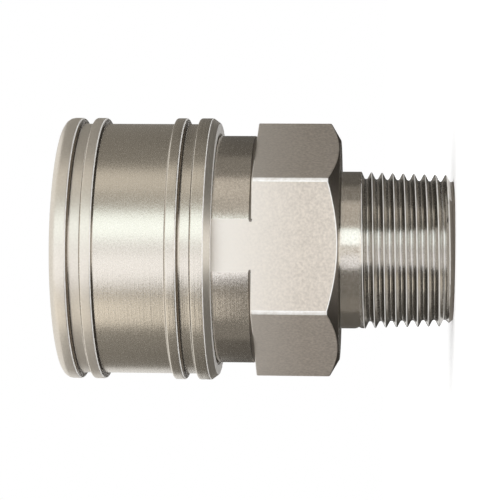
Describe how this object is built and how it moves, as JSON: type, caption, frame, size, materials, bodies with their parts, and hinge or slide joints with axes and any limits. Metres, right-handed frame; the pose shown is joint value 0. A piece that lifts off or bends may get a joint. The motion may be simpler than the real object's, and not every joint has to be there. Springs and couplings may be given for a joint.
{
  "type": "quick coupling socket",
  "caption": "Straight-through ball-lock coupling socket with a ribbed sliding sleeve, a wrench hexagon and a male taper pipe thread, for fluid lines.",
  "frame": {"origin": "centre of the taper thread's end face, on which the socket stands", "axes": "+Z along the axis, from the thread towards the mouth; the two hexagon flats that run on up the guide face +Y and -Y"},
  "size_m": [0.045, 0.045, 0.0664],
  "materials": {
    "satin_steel": "turned stainless steel, satin",
    "spring_steel": "drawn spring wire and stamped ring, dull",
    "ball_steel": "ground and polished balls",
    "seal_rubber": "moulded black rubber"
  },
  "bodies": {
    "socket": {"socket_body": "satin_steel", "plug_seal": "seal_rubber", "sleeve_spring": "spring_steel"},
    "stop_ring": {"stop_ring": "spring_steel"},
    "sleeve": {"sleeve": "satin_steel"},
    "ball_01": {"locking_ball_01": "ball_steel"},
    "ball_02": {"locking_ball_02": "ball_steel"},
    "ball_03": {"locking_ball_03": "ball_steel"},
    "ball_04": {"locking_ball_04": "ball_steel"},
    "ball_05": {"locking_ball_05": "ball_steel"},
    "ball_06": {"locking_ball_06": "ball_steel"},
    "ball_07": {"locking_ball_07": "ball_steel"},
    "ball_08": {"locking_ball_08": "ball_steel"},
    "ball_09": {"locking_ball_09": "ball_steel"},
    "ball_10": {"locking_ball_10": "ball_steel"},
    "ball_11": {"locking_ball_11": "ball_steel"},
    "ball_12": {"locking_ball_12": "ball_steel"}
  },
  "joints": [
    {"name": "sleeve_turn", "type": "hinge", "parent": "socket", "child": "stop_ring", "pos_m": [0, 0, 0.063], "axis": [0, 0, 1], "continuous": true},
    {"name": "sleeve_slide", "type": "slide", "parent": "stop_ring", "child": "sleeve", "axis": [0, 0, -1], "range_m": [0, 0.0064], "stiffness_N_per_m": 1220, "springref_m": -0.009, "deforming": ["sleeve_spring"]},
    {"name": "ball_01_slide", "type": "slide", "parent": "socket", "child": "ball_01", "axis": [1, 0, 0], "range_m": [0, 0.00125]},
    {"name": "ball_02_slide", "type": "slide", "parent": "socket", "child": "ball_02", "axis": [0.866, 0.5, 0], "range_m": [0, 0.00125]},
    {"name": "ball_03_slide", "type": "slide", "parent": "socket", "child": "ball_03", "axis": [0.5, 0.866, 0], "range_m": [0, 0.00125]},
    {"name": "ball_04_slide", "type": "slide", "parent": "socket", "child": "ball_04", "axis": [0, 1, 0], "range_m": [0, 0.00125]},
    {"name": "ball_05_slide", "type": "slide", "parent": "socket", "child": "ball_05", "axis": [-0.5, 0.866, 0], "range_m": [0, 0.00125]},
    {"name": "ball_06_slide", "type": "slide", "parent": "socket", "child": "ball_06", "axis": [-0.866, 0.5, 0], "range_m": [0, 0.00125]},
    {"name": "ball_07_slide", "type": "slide", "parent": "socket", "child": "ball_07", "axis": [-1, 0, 0], "range_m": [0, 0.00125]},
    {"name": "ball_08_slide", "type": "slide", "parent": "socket", "child": "ball_08", "axis": [-0.866, -0.5, 0], "range_m": [0, 0.00125]},
    {"name": "ball_09_slide", "type": "slide", "parent": "socket", "child": "ball_09", "axis": [-0.5, -0.866, 0], "range_m": [0, 0.00125]},
    {"name": "ball_10_slide", "type": "slide", "parent": "socket", "child": "ball_10", "axis": [0, -1, 0], "range_m": [0, 0.00125]},
    {"name": "ball_11_slide", "type": "slide", "parent": "socket", "child": "ball_11", "axis": [0.5, -0.866, 0], "range_m": [0, 0.00125]},
    {"name": "ball_12_slide", "type": "slide", "parent": "socket", "child": "ball_12", "axis": [0.866, -0.5, 0], "range_m": [0, 0.00125]}
  ],
  "couplings": [
    {"joint": "ball_01_slide", "follows": "sleeve_slide", "ratio": 0.19531},
    {"joint": "ball_02_slide", "follows": "sleeve_slide", "ratio": 0.19531},
    {"joint": "ball_03_slide", "follows": "sleeve_slide", "ratio": 0.19531},
    {"joint": "ball_04_slide", "follows": "sleeve_slide", "ratio": 0.19531},
    {"joint": "ball_05_slide", "follows": "sleeve_slide", "ratio": 0.19531},
    {"joint": "ball_06_slide", "follows": "sleeve_slide", "ratio": 0.19531},
    {"joint": "ball_07_slide", "follows": "sleeve_slide", "ratio": 0.19531},
    {"joint": "ball_08_slide", "follows": "sleeve_slide", "ratio": 0.19531},
    {"joint": "ball_09_slide", "follows": "sleeve_slide", "ratio": 0.19531},
    {"joint": "ball_10_slide", "follows": "sleeve_slide", "ratio": 0.19531},
    {"joint": "ball_11_slide", "follows": "sleeve_slide", "ratio": 0.19531},
    {"joint": "ball_12_slide", "follows": "sleeve_slide", "ratio": 0.19531}
  ]
}
